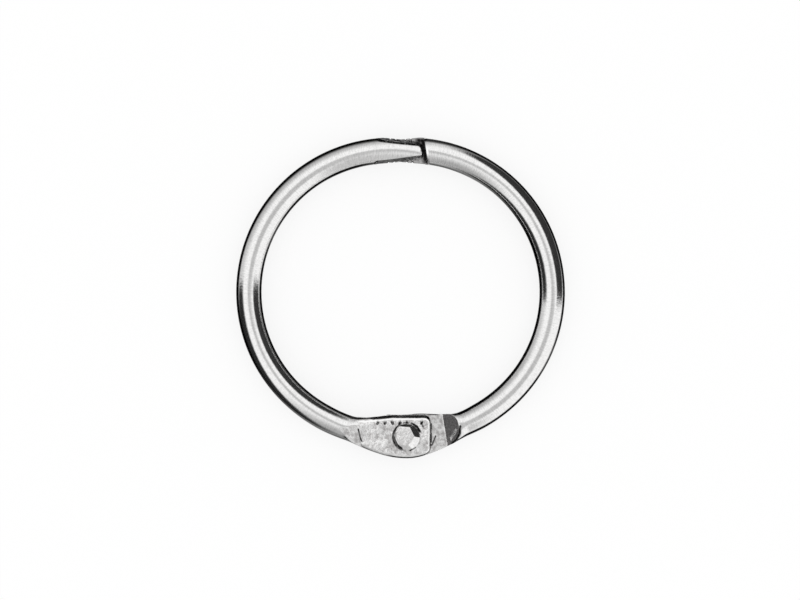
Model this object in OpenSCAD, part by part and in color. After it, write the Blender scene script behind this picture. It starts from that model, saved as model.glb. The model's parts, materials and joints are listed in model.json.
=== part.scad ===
// Hinged book ring. Two bent wire arms turn on one rivet and close on a toothed half lap.
// The closed ring lies flat, its bore about the Z axis: hinge at -Y, closure at +Y, front at +Z.
// Both arms come off one tool. The right arm is the left one turned over about the Y axis.

/* [Ring] */
// Clear width inside the closed ring
ring_bore = 25; // [20:1:50]
// Diameter of the wire
wire_d = 2.4; // [2:0.1:3.2]
// How far each arm's bend is centred to its own side
arm_shift = 0.9; // [0.5:0.1:1.3]
// Angle over which an arm straightens on its way into the hinge
neck_turn = 30; // [24:1:36]

/* [Hinge tabs] */
// Width of a pressed tab at the rivet
tab_w = 3.94; // [3.4:0.02:4.6]
// Length of a tab past the rivet's centre
tab_end = 2.2; // [1.9:0.1:2.8]
// How much the outer edge of a tab draws in by its end
tab_taper = 0.5; // [0:0.05:0.6]
// Rounding of a tab's two end corners, in plan
tab_corner = 0.6; // [0.4:0.1:1]
// Width of the sloping strip along a tab's inner side
tab_bevel = 0.3; // [0:0.05:0.5]
// Slope of that strip
bevel_angle = 62; // [50:1:75]
// How far a tab's outer face is pressed below the wire
tab_relief = 0.16; // [0.05:0.01:0.3]
// Width of the wire at its narrowest, where it enters the press
waist_w = 2.1; // [1.8:0.02:2.4]
// Distance from the rivet to the step that clears the other arm's tab
step_at = 3.5; // [3.3:0.1:4.4]
// Slope of that step
step_angle = 43; // [35:1:55]
// Turn of the step's foot from square to the hinge
step_turn = 9; // [0:1:14]
// Distance from the rivet to the crease where the pressed face begins
crease_at = 4.4; // [3.8:0.1:5]
// Turn of the crease from square to the wire
crease_turn = 27; // [0:1:30]
// Slope of the short flat that leads from the wire down to the crease
lead_angle = 3; // [2:1:12]
// Roll of that flat towards the outer side
lead_roll = 13; // [0:1:20]
// Gap between the two tabs
hinge_gap = 0.04; // [0.02:0.01:0.1]

/* [Rivet] */
// How far the rivet sits to the right of the ring's middle
rivet_x = 0.55; // [0:0.05:0.8]
// Diameter of the shank
rivet_d = 1.5; // [1.2:0.1:1.8]
// Running clearance round the shank in the right arm's tab
rivet_play = 0.03; // [0.02:0.01:0.08]
// Diameter of both heads
head_d = 2.4; // [2.2:0.02:2.8]
// Height of the peened front head
peen_h = 0.62; // [0.4:0.02:0.9]
// Width of the peened head's struck top
peen_top = 1.64; // [1.4:0.02:1.8]
// How far the struck top lies off the shank
peen_off = 0.26; // [0:0.02:0.3]
// Direction in which it lies off, counted from the X axis
peen_dir = 158; // [0:1:359]
// Hammer flats round the peened head
peen_flats = 6; // [5:1:9]
// Direction that the first of them faces
peen_facing = 26; // [0:1:59]
// Height of the plain rear head
button_h = 0.4; // [0.3:0.02:0.6]

/* [Closure] */
// Length of the lap that the two tongues share
lap_len = 4.2; // [3:0.1:4.6]
// Gap left between a tongue's end and the other arm's shoulder
lap_play = 0.16; // [0.1:0.02:0.5]
// Turn of the shoulder from square to the wire
shoulder_turn = 4; // [0:1:12]
// Width of a tongue's base halfway along the lap
tongue_w = 2.1; // [1.9:0.02:2.2]
// Taper of a tongue's outer side
outer_taper = 4; // [2:1:6]
// Taper of a tongue's inner side
inner_taper = 9; // [6:1:11]
// Draft of a tongue's pressed sides
tongue_draft = 20; // [12:1:22]
// Draft of its end
end_draft = 8; // [0:1:20]
// Rounding of a tongue's outer end corner
nose_outer = 0.85; // [0.4:0.05:0.9]
// Rounding of a tongue's inner end corner
nose_inner = 0.5; // [0.45:0.05:0.6]
// Number of grooves between the catch teeth
grooves = 5; // [2:1:6]
// Distance from tooth to tooth
tooth_pitch = 0.5; // [0.4:0.05:0.6]
// Depth of the grooves
tooth_h = 0.18; // [0.1:0.02:0.26]
// Clearance between the crests of the two sets of teeth
tooth_play = 0.04; // [0.02:0.01:0.1]

/* [Hidden] */
$fn = 96;
wire_r = wire_d / 2;
arm_r = ring_bore / 2 + wire_r - arm_shift;
neck_r = arm_r + arm_shift / sin(neck_turn);
neck_len = neck_r * neck_turn * PI / 180;
hinge_y = neck_r - (neck_r - arm_r) * cos(neck_turn);
tab_face = wire_r - tab_relief;
lap_at = 180 + asin(arm_shift / arm_r);
// How far past the crease the wire is narrowest, and that place's distance from the rivet
waist_past = 1.2;
waist_at = crease_at + waist_past;
// How far before the step the tab's section begins to turn round
square_before = 1;
// Distances from the rivet at which a tab's inner and outer sides begin to narrow to the waist
flare_in = 0.9;
flare_out = 0;
// How far before and after the crease the pressed face rises to the wire's full height
rise_before = 0.4;
rise_after = 0.6;
// How far a cutter runs past what it cuts
past = 0.6;
// Points round a section of the pressed end, and its stations along the wire
ring_points = 36;
press_steps = 20;
corner_steps = 5;
// Where the round wire begins the pressed end stands this proud of it, then runs on to end this far inside
join_proud = 0.008;
join_len = 0.3;
join_inset = 0.02;
// Squareness of the tab's section and of the round wire's
tab_square = 7;
wire_square = 2;

// Angle on the bend for a length along it
function turn(length, r) = length / r * 180 / PI;

// Smooth step from 0 at a to 1 at b
function ease(s, a, b) = let (t = max(0, min(1, (s - a) / (b - a)))) t * t * (3 - 2 * t);

// Place of the left arm's centreline at a length s from the ring's middle, and its turn from X
function spine(s) =
    s <= 0 ? [-s, -hinge_y, 0]
    : s <= neck_len
        ? let (a = turn(s, neck_r)) [-neck_r * sin(a), neck_r * (1 - cos(a)) - hinge_y, a]
        : let (a = neck_turn + turn(s - neck_len, arm_r))
            [-arm_shift - arm_r * sin(a), -arm_r * cos(a), a];

// What the rounded end corners and the end's taper take off a side at a distance d from the rivet
function corner_cut(d) =
    let (in = max(0, tab_corner - tab_end - d))
    tab_corner - sqrt(max(0, tab_corner ^ 2 - in ^ 2));
function taper_cut(d) = tab_taper * (max(0, -d) / tab_end) ^ 2;

// Half width, half height and squareness of the pressed end, which is round again where it meets the wire
function half_width(d, wire_at, flare_at) =
    tab_w / 2 - corner_cut(d)
    - (tab_w - waist_w) / 2 * ease(d, flare_at, waist_at)
    + (wire_d - waist_w) / 2 * ease(d, waist_at, wire_at);
function half_height(d) = tab_face + tab_relief * ease(d, crease_at - rise_before, crease_at + rise_after);
function squareness(d) =
    tab_square - (tab_square - wire_square) * ease(d, step_at - square_before, waist_at);

// Height under the strip along the inner side, at a distance in from that side, where the tab still has one
function bevel_height(d, in) =
    let (strip = tab_bevel * (1 - ease(d, step_at - square_before, waist_at)))
    half_height(d) - max(0, strip - in) * tan(bevel_angle);

function signed_power(v, p) = sign(v) * pow(abs(v), p);

// Section across the centreline at d from a rivet at rivet_at, grown all round by the given amount
function section(d, rivet_at, grow) =
    let (
        at = spine(d + rivet_at),
        p = 2 / squareness(d),
        inner = half_width(d, neck_len - rivet_at, flare_in),
        outer = half_width(d, neck_len - rivet_at, flare_out) - taper_cut(d)
    )
    [for (i = [0:ring_points - 1])
        let (
            q = i * 360 / ring_points,
            u = ((cos(q) > 0 ? outer : inner) + grow) * signed_power(cos(q), p),
            full = (half_height(d) + grow) * signed_power(sin(q), p),
            low = u > 0 ? full : min(abs(full), bevel_height(d, inner + u) + grow)
        )
        [at[0] - u * sin(at[2]), at[1] - u * cos(at[2]), u > 0 ? full : sign(full) * low]];

// Skin over a list of sections with equally many points
module loft(sections) {
    n = len(sections[0]);
    m = len(sections);
    points = [for (ring = sections) each ring];
    sides = [for (j = [0:m - 2], i = [0:n - 1], half = [0, 1])
        let (k = (i + 1) % n, lo = j * n, hi = lo + n)
        half == 0 ? [lo + i, hi + i, lo + k] : [lo + k, hi + i, hi + k]];
    first = [for (i = [0:n - 1]) i];
    last = [for (i = [n - 1:-1:0]) (m - 1) * n + i];
    polyhedron(points, concat([first, last], sides));
}

// The tab and the neck behind it, pressed out of the wire round a rivet at rivet_at
module pressed_end(rivet_at) {
    wire_at = neck_len - rivet_at;
    corner_end = tab_corner - tab_end;
    stations = concat(
        [for (k = [0:corner_steps]) -tab_end + tab_corner * (1 - cos(k * 90 / corner_steps))],
        [for (k = [1:press_steps]) corner_end + k * (wire_at - corner_end) / press_steps]
    );
    loft(concat(
        [for (d = stations) section(d, rivet_at, d < wire_at - past ? 0 : join_proud)],
        [section(wire_at + join_len, rivet_at, -join_inset)]
    ));
}

// The round wire along the bend, from turn a to turn b
module bent_wire(a, b) {
    translate([-arm_shift, 0, 0]) rotate([0, 0, 270 - b])
        rotate_extrude(angle = b - a) translate([arm_r, 0]) circle(wire_r);
}

// A place on the bend at turn a, with X along the wire towards its tip and Y outwards
module on_bend(a) {
    translate([-arm_shift - arm_r * sin(a), -arm_r * cos(a), 0])
        rotate([0, 0, 180 - a]) children();
}

// Outline of the wire's tip from the skewed shoulder to past the tongue's end
module lap_outline() {
    foot = lap_len / 2 + lap_play;
    end = foot + past;
    lean = wire_d * tan(shoulder_turn);
    polygon([[-foot + lean, wire_d], [end, wire_d], [end, -wire_d], [-foot - lean, -wire_d]]);
}

// A tapered peg that rounds one corner of the tongue, with its size at the level of the wire's centre
module nose_peg(x, y, r) {
    draw = tan(tongue_draft);
    lean = draw - tan(end_draft);
    translate([x, y, 0]) multmatrix([[1, 0, lean, 0], [0, 1, 0, 0], [0, 0, 1, 0]]) translate([0, 0, -past])
        cylinder(h = past + wire_r, r1 = r + past * draw, r2 = max(0.02, r - wire_r * draw), $fn = 40);
}

// The tongue's tapered form about the lap's middle, before the wire's round trims its top
module tongue_form() {
    tip = lap_len / 2;
    root = -tip - lap_play - wire_d;
    function outer(x) = tongue_w / 2 - x * tan(outer_taper);
    function inner(x) = tongue_w / 2 - x * tan(inner_taper);
    hull() {
        nose_peg(tip - nose_outer, outer(tip) - nose_outer, nose_outer);
        nose_peg(tip - nose_inner, nose_inner - inner(tip), nose_inner);
        nose_peg(root, outer(root) - nose_inner, nose_inner);
        nose_peg(root, nose_inner - inner(root), nose_inner);
    }
}

// What the press and the saw take off the wire's tip: its rear half, and all outside the tongue
module lap_cutters() {
    translate([0, 0, -wire_d]) linear_extrude(wire_d + tooth_play / 2) lap_outline();
    difference() {
        linear_extrude(wire_d) lap_outline();
        tongue_form();
    }
    groove_cutters();
}

// Grooves across the lap face, which leave the catch teeth between them
module groove_cutters() {
    half = tooth_pitch * 0.4;
    face = tooth_play / 2;
    for (i = [0:grooves - 1])
        translate([(i - (grooves - 1) / 2) * tooth_pitch, 0, 0]) rotate([90, 0, 0])
            linear_extrude(wire_d + past, center = true)
                polygon([[-half, face - tooth_h], [half, face - tooth_h], [0, face + tooth_h]]);
}

// All below the parting face that the other arm's tab needs, up to a sloping step
module step_cutter(rivet_at) {
    at = spine(step_at + rivet_at);
    reach = step_at + tab_end + past;
    top = hinge_gap / 2;
    translate([at[0], at[1], 0]) rotate([90, 0, -step_turn])
        linear_extrude(tab_w + 2 * past, center = true)
            polygon([[reach, top], [0, top], [-wire_d / tan(step_angle), top - wire_d],
                [reach, top - wire_d]]);
}

// The short flat that the press leaves on the wire in front of the tab's outer face
module lead_cutter(rivet_at) {
    at = spine(crease_at + rivet_at);
    run = 2 * wire_d;
    translate([at[0], at[1], 0]) rotate([lead_roll, 0, crease_turn - at[2]]) translate([0, 0, tab_face])
        rotate([90, 0, 0]) linear_extrude(tab_w + 2 * past, center = true)
            polygon([[0, 0], [0, wire_d], [-run, wire_d], [-run, run * tan(lead_angle)]]);
}

// One arm, as the left one lies. rivet_at is its rivet's place along the centreline
module arm(rivet_at, hole_d) {
    difference() {
        union() {
            bent_wire(neck_turn, lap_at + turn(lap_len / 2, arm_r));
            pressed_end(rivet_at);
        }
        on_bend(lap_at) lap_cutters();
        step_cutter(rivet_at);
        lead_cutter(rivet_at);
        translate([-rivet_at, -hinge_y, -past]) cylinder(d = hole_d, h = wire_d);
    }
}

module left_arm() {
    color("silver") arm(-rivet_x, rivet_d);
}

module right_arm() {
    color("gainsboro") rotate([0, 180, 0]) arm(rivet_x, rivet_d + 2 * rivet_play);
}

// The struck front head: a short drum with hammer flats that lean in to an off-centre top
module peened_head() {
    lip = peen_h * 0.2;
    difference() {
        cylinder(d = head_d, h = peen_h);
        for (i = [0:peen_flats - 1]) {
            facing = peen_facing + i * 360 / peen_flats;
            inset = (head_d - peen_top) / 2 - peen_off * cos(facing - peen_dir);
            rotate([0, 0, facing]) translate([head_d / 2, 0, lip]) rotate([90, 0, 0])
                linear_extrude(head_d, center = true)
                    polygon([[0, 0], [-inset, peen_h - lip], [-inset, peen_h], [past, peen_h],
                        [past, 0]]);
        }
    }
}

// The plain rear head, rounded over at its rim
module button_head() {
    round = button_h * 0.6;
    rotate_extrude() {
        translate([0, round]) square([head_d / 2, button_h - round]);
        square([head_d / 2 - round, button_h]);
        intersection() {
            translate([head_d / 2 - round, round]) circle(round);
            square([head_d / 2, round]);
        }
    }
}

module hinge_rivet() {
    rear_seat = -tab_face - rivet_play;
    color("lightgray") translate([rivet_x, -hinge_y, 0]) {
        translate([0, 0, rear_seat]) cylinder(d = rivet_d, h = tab_face - rear_seat);
        translate([0, 0, tab_face]) peened_head();
        translate([0, 0, rear_seat - button_h]) button_head();
    }
}

left_arm();
right_arm();
hinge_rivet();
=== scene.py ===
"""Hinged book ring: two plated wire arms, their press marks, the struck rivet and a studio."""

import json
import math

import bpy
import numpy as np
from bpy.props import (FloatProperty, FloatVectorProperty, IntProperty,
                       PointerProperty)
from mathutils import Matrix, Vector, noise


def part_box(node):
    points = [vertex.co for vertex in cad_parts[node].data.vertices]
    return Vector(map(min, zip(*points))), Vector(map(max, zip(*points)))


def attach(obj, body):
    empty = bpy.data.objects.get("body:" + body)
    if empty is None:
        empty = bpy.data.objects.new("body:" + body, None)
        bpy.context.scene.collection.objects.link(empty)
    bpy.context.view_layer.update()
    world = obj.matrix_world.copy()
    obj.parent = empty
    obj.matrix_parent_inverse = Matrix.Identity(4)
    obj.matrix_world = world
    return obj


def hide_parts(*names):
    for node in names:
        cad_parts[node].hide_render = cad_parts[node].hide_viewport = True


bl_info = {
    "name": "Hinged book ring",
    "version": (1, 0, 0),
    "blender": (4, 5, 0),
    "location": "3D View > Sidebar > Book ring",
    "description": "Builds a hinged book ring's wire arms, press marks and rivet, and a studio",
    "category": "Add Mesh",
}

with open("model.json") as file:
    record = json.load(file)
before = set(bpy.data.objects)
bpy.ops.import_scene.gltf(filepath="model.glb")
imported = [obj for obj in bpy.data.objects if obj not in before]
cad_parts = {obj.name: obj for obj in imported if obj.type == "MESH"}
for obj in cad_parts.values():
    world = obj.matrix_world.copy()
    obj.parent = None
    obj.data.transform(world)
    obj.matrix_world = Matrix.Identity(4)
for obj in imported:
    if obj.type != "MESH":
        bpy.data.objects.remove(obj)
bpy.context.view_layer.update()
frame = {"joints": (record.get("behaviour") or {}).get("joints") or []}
HINGE = Vector(frame["joints"][0]["pos_m"])
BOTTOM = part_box("hinge_rivet")[0].z


def length(label, what, default):
    """A length in metres that the panel shows."""
    return FloatProperty(name=label, description=what, default=default, unit="LENGTH", precision=5)


def angle(label, what, degrees):
    """An angle that the panel shows in degrees."""
    turn = math.radians(degrees)
    return FloatProperty(name=label, description=what, default=turn, subtype="ANGLE")


def share(label, what, default):
    """A plain number that the panel shows as a factor."""
    return FloatProperty(name=label, description=what, default=default, subtype="FACTOR")


def triple(label, what, default, kind="COLOR"):
    """Three numbers that the panel shows as a colour, or as a place."""
    return FloatVectorProperty(name=label, description=what, default=default, size=3, subtype=kind)


def count(label, what, default):
    """A whole number that the panel shows."""
    return IntProperty(name=label, description=what, default=default)


class BookRingSizes(bpy.types.PropertyGroup):
    """Sizes of the bend, the pressed hinge ends and the rivet."""

    bore: length("Bore", "Clear width inside the closed ring", 0.025)
    wire: length("Wire", "Diameter of the wire", 0.0024)
    arm_shift: length("Arm shift", "How far each bend is centred to its own side", 0.0009)
    neck_turn: angle("Neck turn", "Angle over which an arm straightens into the hinge", 30)
    tab_width: length("Tab width", "Width of a pressed tab at the rivet", 0.003935)
    tab_end: length("Tab end", "Length of a tab past the rivet", 0.0022)
    tab_taper: length("Tab taper", "How much a tab's outer edge draws in by its end", 0.0005)
    tab_corner: length("Tab corner", "Rounding of a tab's end corners in plan", 0.0006)
    bevel: length("Bevel", "Width of the sloping strip along a tab's inner side", 0.0003)
    bevel_angle: angle("Bevel slope", "Slope of that strip", 62)
    burnish: length("Broken edge", "Width of the broken edge round the rest of a tab", 0.00012)
    rim: length("Rim", "Width of the shallow rim inside those edges", 0.00014)
    rim_angle: angle("Rim slope", "Slope of that rim", 15)
    tab_relief: length("Tab relief", "How far a tab's face is pressed below the wire", 0.00016)
    waist: length("Waist", "Width of the wire where it enters the press", 0.00234)
    step_at: length("Step", "Distance from the rivet to the step for the other tab", 0.0035)
    step_angle: angle("Step slope", "Slope of that step", 43)
    step_turn: angle("Step turn", "Turn of the step's foot from square to the hinge", 9)
    crease_at: length("Crease", "Distance from the rivet to the pressed face's crease", 0.0044)
    crease_turn: angle("Crease turn", "Turn of the crease from square to the wire", 27)
    lead_angle: angle("Lead slope", "Slope of the flat that leads down to the crease", 11)
    lead_roll: angle("Lead roll", "Roll of that flat towards the outer side", 20)
    hinge_gap: length("Hinge gap", "Gap between the two tabs", 0.00004)
    edge: length("Edge rounding", "Rounding of the pressed and sawn edges", 0.00005)
    dents: length("Dents", "Depth of the hammered unevenness of the tabs", 0.000012)


class BookRingLapSizes(bpy.types.PropertyGroup):
    """Sizes of the two tongues that close on each other."""

    span: length("Lap", "Length that the two tongues share", 0.0042)
    play: length("Lap play", "Gap between a tongue's end and the other shoulder", 0.00016)
    shoulder_turn: angle("Shoulder turn", "Turn of the shoulder from square to the wire", 4)
    width: length("Tongue width", "Width of a tongue's base halfway along the lap", 0.0021)
    outer_taper: angle("Outer taper", "Taper of a tongue's outer side", 1.5)
    inner_taper: angle("Inner taper", "Taper of a tongue's inner side", 9)
    draft: angle("Draft", "Draft of a tongue's pressed sides", 20)
    end_draft: angle("End draft", "Draft of a tongue's end", 8)
    nose_outer: length("Outer nose", "Rounding of a tongue's outer end corner", 0.00085)
    nose_inner: length("Inner nose", "Rounding of a tongue's inner end corner", 0.0005)
    chamfer: length("Chamfer", "Width of the shallow chamfer round the cut ends", 0.00021)
    chamfer_angle: angle("Chamfer slope", "Slope of that chamfer", 14)
    grooves: count("Grooves", "Grooves between the catch teeth", 5)
    pitch: length("Tooth pitch", "Distance from tooth to tooth", 0.0005)
    groove_width: length("Groove width", "Width of a groove at the lap face", 0.0002)
    tooth: length("Tooth", "Depth of the grooves", 0.00018)
    crest_play: length("Crest play", "Clearance between the two sets of crests", 0.00004)


class BookRingRivetSizes(bpy.types.PropertyGroup):
    """Sizes of the rivet and of the marks round it."""

    shank: length("Shank", "Diameter of the shank", 0.0015)
    head: length("Head", "Diameter of both heads", 0.0024)
    height: length("Peened height", "Height of the struck front head", 0.00062)
    top: length("Struck top", "Width of the struck top", 0.00164)
    off: length("Top offset", "How far the struck top lies off the shank", 0.00026)
    off_angle: angle("Offset direction", "Direction in which it lies off", 158)
    flats: count("Flats", "Hammer flats round the head", 6)
    facing: angle("First flat", "Direction that the first flat faces", 26)
    rear_height: length("Rear height", "Height of the plain rear head", 0.0004)
    marks: count("Press marks", "Places for marks along a tab's inner edge", 7)
    missed: count("Missed mark", "The place that has no mark, counted from 0", 5)
    first_mark: length("First mark", "Position of the first mark from the rivet", -0.0026)
    mark_pitch: length("Mark pitch", "Distance from mark to mark", 0.00066)
    mark_inset: length("Mark inset", "Distance of the row from the tab's inner edge", 0.00072)
    mark_length: length("Mark length", "Length of a press mark", 0.00044)
    mark_width: length("Mark width", "Width of a press mark", 0.0003)
    mark_depth: length("Mark depth", "Depth of a press mark", 0.00012)
    lip: length("Mark lip", "Width of the lip thrown up beside a mark", 0.00009)


class BookRingFinish(bpy.types.PropertyGroup):
    """The plating and the studio."""

    plate: triple("Plate", "Colour of the bright plate", (0.93, 0.925, 0.92))
    tarnish: triple("Pressed plate", "Colour of the rubbed, pressed metal", (0.6, 0.585, 0.58))
    # Bare steel, kept dark so that it also stands in for the shade in the lap and on the steps
    steel_and_shade_colour: triple("Bare steel", "Colour of the cut faces of the lap", (0.38, 0.37, 0.37))
    # Bright colour for the rubbed edges, also used for painted highlights along the rims and edges
    polished_and_highlight_colour: triple("Rubbed edge", "Colour of the edges rubbed bright", (0.985, 0.98, 0.975))
    # Near black, for dirt and for painted shade in the creases, the gaps and round the rivet
    dirt_and_shade_colour: triple("Dirt", "Colour of the dirt in the creases", (0.012, 0.011, 0.011))
    gloss: share("Wire roughness", "Roughness of the drawn wire", 0.1)
    pressed: share("Pressed roughness", "Roughness of the pressed tabs", 0.2)
    floor: triple("Floor", "Colour of the floor", (0.99, 0.99, 0.99))
    view_width: length("View width", "Width of the floor that the picture takes in", 0.0723)
    view_height: length("View height", "Height of the camera over the ring", 0.3)
    view_centre: triple("View centre", "Point that the picture centres on",
                        (-0.00005, -0.00072, 0), "TRANSLATION")


# Surfaces as fields that are negative inside the metal


def rounded(a, b, radius):
    """Where fields a and b are both negative, with the edge between them rounded."""
    both = np.hypot(np.maximum(a + radius, 0), np.maximum(b + radius, 0)) - radius
    return np.where((a > -radius) & (b > -radius), both, np.maximum(a, b))


def ease(t, start, end):
    """Smooth step from 0 at start to 1 at end."""
    t = np.clip((t - start) / (end - start), 0, 1)
    return t * t * (3 - 2 * t)


class Arm:
    """One arm as the left one lies, its rivet at rivet_at along the centreline from the middle."""

    TAB_SQUARE, WIRE_SQUARE = 7.0, 2.0
    FLARE_IN, FLARE_OUT = 0.0009, 0.0
    RISE_BEFORE, RISE_AFTER = 0.0004, 0.0006
    WAIST_PAST_CREASE = 0.0012
    SQUARE_BEFORE = 0.001
    TONGUE_FADE = (0.0003, 0.0014)
    LEAD_INNER = 0.0002
    LEAD_WIDTH, LEAD_LENGTH = 0.002, 0.004
    MARK_LEAN = 0.35
    ON_CUT, ON_FLAT = 0.00003, 0.00001

    def __init__(self, size, lap, rivet, rivet_at):
        self.size, self.lap, self.rivet, self.rivet_at = size, lap, rivet, rivet_at
        self.wire_r = size.wire / 2
        self.bend = size.bore / 2 + self.wire_r - size.arm_shift
        self.neck = self.bend + size.arm_shift / math.sin(size.neck_turn)
        self.neck_length = self.neck * size.neck_turn
        self.hinge_y = self.neck - (self.neck - self.bend) * math.cos(size.neck_turn)
        self.face = self.wire_r - size.tab_relief
        self.waist_at = size.crease_at + self.WAIST_PAST_CREASE
        self.lap_turn = math.pi + math.asin(size.arm_shift / self.bend)
        self.foot = lap.span / 2 + lap.play
        self.step_foot = self.place(size.step_at + rivet_at)
        self.crease = self.place(size.crease_at + rivet_at)

    def turn(self, s):
        """Turn of the centreline from the X axis at length s."""
        bend = self.size.neck_turn + (s - self.neck_length) / self.bend
        return np.where(s < 0, 0, np.where(s < self.neck_length, s / self.neck, bend))

    def place(self, s):
        """Centreline at length s from the ring's middle: x, y and turn."""
        a = self.turn(s)
        on_neck = s < self.neck_length
        x = np.where(on_neck, -self.neck * np.sin(a), -self.size.arm_shift - self.bend * np.sin(a))
        y = np.where(on_neck, self.neck * (1 - np.cos(a)) - self.hinge_y, -self.bend * np.cos(a))
        return np.where(s < 0, -s, x), y, a

    def unroll(self, x, y):
        """Length along the centreline and distance to its outer side, for any point."""
        dx = x + self.size.arm_shift
        a = np.arctan2(-dx, -y) % (2 * math.pi)
        on_bend = (a > self.size.neck_turn) & (a < 1.5 * math.pi)
        s_bend = self.neck_length + (a - self.size.neck_turn) * self.bend
        neck_y = self.neck - self.hinge_y - y
        b = np.maximum(np.arctan2(-x, neck_y), 0)
        s_neck = np.where(x > 0, -x, b * self.neck)
        u_neck = np.where(x > 0, neck_y, np.hypot(x, neck_y)) - self.neck
        u_bend = np.hypot(dx, y) - self.bend
        return np.where(on_bend, s_bend, s_neck), np.where(on_bend, u_bend, u_neck)

    def half_width(self, d, flare_at):
        """Half width of the arm at distance d past the rivet, where a tab flares from flare_at."""
        size = self.size
        inset = np.clip(size.tab_corner - size.tab_end - d, 0, size.tab_corner)
        corner = size.tab_corner - np.sqrt(size.tab_corner ** 2 - inset ** 2)
        wire_at = self.neck_length - self.rivet_at
        flare = (size.tab_width - size.waist) / 2 * ease(d, flare_at, self.waist_at)
        swell = (size.wire - size.waist) / 2 * ease(d, self.waist_at, wire_at)
        return size.tab_width / 2 - corner - flare + swell

    def outer_half(self, d):
        """Half width on the outer side, where a tab draws in towards its end."""
        size = self.size
        taper = size.tab_taper * (np.maximum(-d, 0) / size.tab_end) ** 2
        return self.half_width(d, self.FLARE_OUT) - taper

    def metal(self, x, y, z):
        """Field of the whole arm at points x, y, z."""
        size = self.size
        s, u = self.unroll(x, y)
        d = s - self.rivet_at
        half = np.where(u > 0, self.outer_half(d), self.half_width(d, self.FLARE_IN))
        rise = ease(d, size.crease_at - self.RISE_BEFORE, size.crease_at + self.RISE_AFTER)
        high = self.face + size.tab_relief * rise
        turned = ease(d, size.step_at - self.SQUARE_BEFORE, self.waist_at)
        square = self.TAB_SQUARE - (self.TAB_SQUARE - self.WIRE_SQUARE) * turned
        around = (np.abs(u / half) ** square + np.abs(z / high) ** square) ** (1 / square)
        body = (around - 1) * np.minimum(half, high)
        strip = np.where(u < 0, size.bevel, size.burnish) * (1 - turned)
        rim = size.rim * (1 - turned)
        inward, up = half - strip - np.abs(u), np.abs(z) - high
        from_end, over = d + size.tab_end, z - high
        cuts = (
            (self.slope(inward, up, size.bevel_angle), 1),
            (self.slope(inward - rim, up, size.rim_angle), 3),
            (-from_end, 1),
            (self.slope(from_end - size.burnish, over, size.bevel_angle), 1),
            (self.slope(from_end - size.burnish - rim, over, size.rim_angle), 3),
            (self.step(x, y, z), 1),
            (self.lead(x, y, z, u), 2),
            (self.marks(x, y, z), 3),
        )
        for cut, finer in cuts:
            body = rounded(body, cut, size.edge / finer)
        along, across = self.lap_place(x, y)
        past_end = along - self.lap.span / 2
        tip = self.chamfered(body, np.where(z < 0, self.past_shoulder(along, across), past_end))
        tip = rounded(tip, self.sawn(x, y, z), size.edge / 2)
        return np.where(y > 0, rounded(tip, self.outside_tongue(x, y, z), size.edge), body)

    def chamfered(self, body, past):
        """The body with the shallow chamfer of its cut edges, which lie where past is 0."""
        lap = self.lap
        turn = lap.chamfer_angle
        plane = body * math.cos(turn) + (past + lap.chamfer) * math.sin(turn)
        return np.maximum(body, plane)

    def face_inset(self, x, y):
        """Distance inside the rim of a tab's outer face, for points of that face."""
        size = self.size
        s, u = self.unroll(x, y)
        d = s - self.rivet_at
        outer = self.outer_half(d) - size.burnish
        inner = self.half_width(d, self.FLARE_IN) - size.bevel
        side = np.where(u > 0, outer, inner) - np.abs(u)
        return np.minimum(side, d + size.tab_end - size.burnish)

    def slope(self, inward, up, steep):
        """Above a slope that falls outwards from where inward and up are both 0."""
        return up * math.cos(steep) - inward * math.sin(steep)

    def marks(self, x, y, z):
        """Inside the row of notches that the press leaves along the outer face's inner edge."""
        rivet, size = self.rivet, self.size
        along = x + self.rivet_at - rivet.first_mark
        number = np.clip(np.round(along / rivet.mark_pitch), 0, rivet.marks - 1)
        number = np.where(number == rivet.missed, rivet.missed - 1, number)
        lean = self.MARK_LEAN * np.sin(2.3 * number + 0.6)
        row = y + self.hinge_y - size.tab_width / 2 + rivet.mark_inset
        off = along - number * rivet.mark_pitch - lean * row
        across = np.abs(off) / (rivet.mark_width / 2)
        inside = 1 - np.hypot(across, row / (rivet.mark_length / 2))
        above = z - self.face + rivet.mark_depth * inside
        return np.where((y < 0) & (inside > 0), above, -1)

    def step(self, x, y, z):
        """Below the parting face, up to the slope that clears the other arm's tab."""
        size = self.size
        foot_x, foot_y, _ = self.step_foot
        turn = size.step_turn
        past = (foot_x - x) * math.cos(turn) + (y - foot_y) * math.sin(turn)
        low = size.hinge_gap / 2 - np.maximum(past, 0) * math.tan(size.step_angle)
        return np.where(y < 0, (low - z) * math.cos(size.step_angle), -1)

    def lead(self, x, y, z, u):
        """Above the short flat behind the crease, which leans to the wire's outer side."""
        size = self.size
        past = self.past_crease(x, y)
        roll, angle = size.lead_roll, size.lead_angle
        at_crease = self.face * math.cos(roll) - self.LEAD_INNER * math.sin(roll)
        up = z * math.cos(roll) + u * math.sin(roll) - at_crease
        above = up * math.cos(angle) - past * math.sin(angle)
        near = (y < 0) & (u < self.LEAD_WIDTH) & (past < self.LEAD_LENGTH)
        return np.where(near, np.minimum(past, above), -1)

    def past_crease(self, x, y):
        """Distance past the crease towards the wire."""
        crease_x, crease_y, a = self.crease
        a = a - self.size.crease_turn
        return (crease_x - x) * np.cos(a) - (crease_y - y) * np.sin(a)

    def lap_place(self, x, y):
        """Position along and across the lap, from its middle."""
        a = self.lap_turn
        dx = x + self.size.arm_shift + self.bend * math.sin(a)
        dy = y + self.bend * math.cos(a)
        return -dx * math.cos(a) + dy * math.sin(a), -dx * math.sin(a) - dy * math.cos(a)

    def past_shoulder(self, along, across):
        """Distance past the other tongue's shoulder, towards the tongue's end."""
        turn = self.lap.shoulder_turn
        return (along + self.foot) * math.cos(turn) - across * math.sin(turn)

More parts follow.
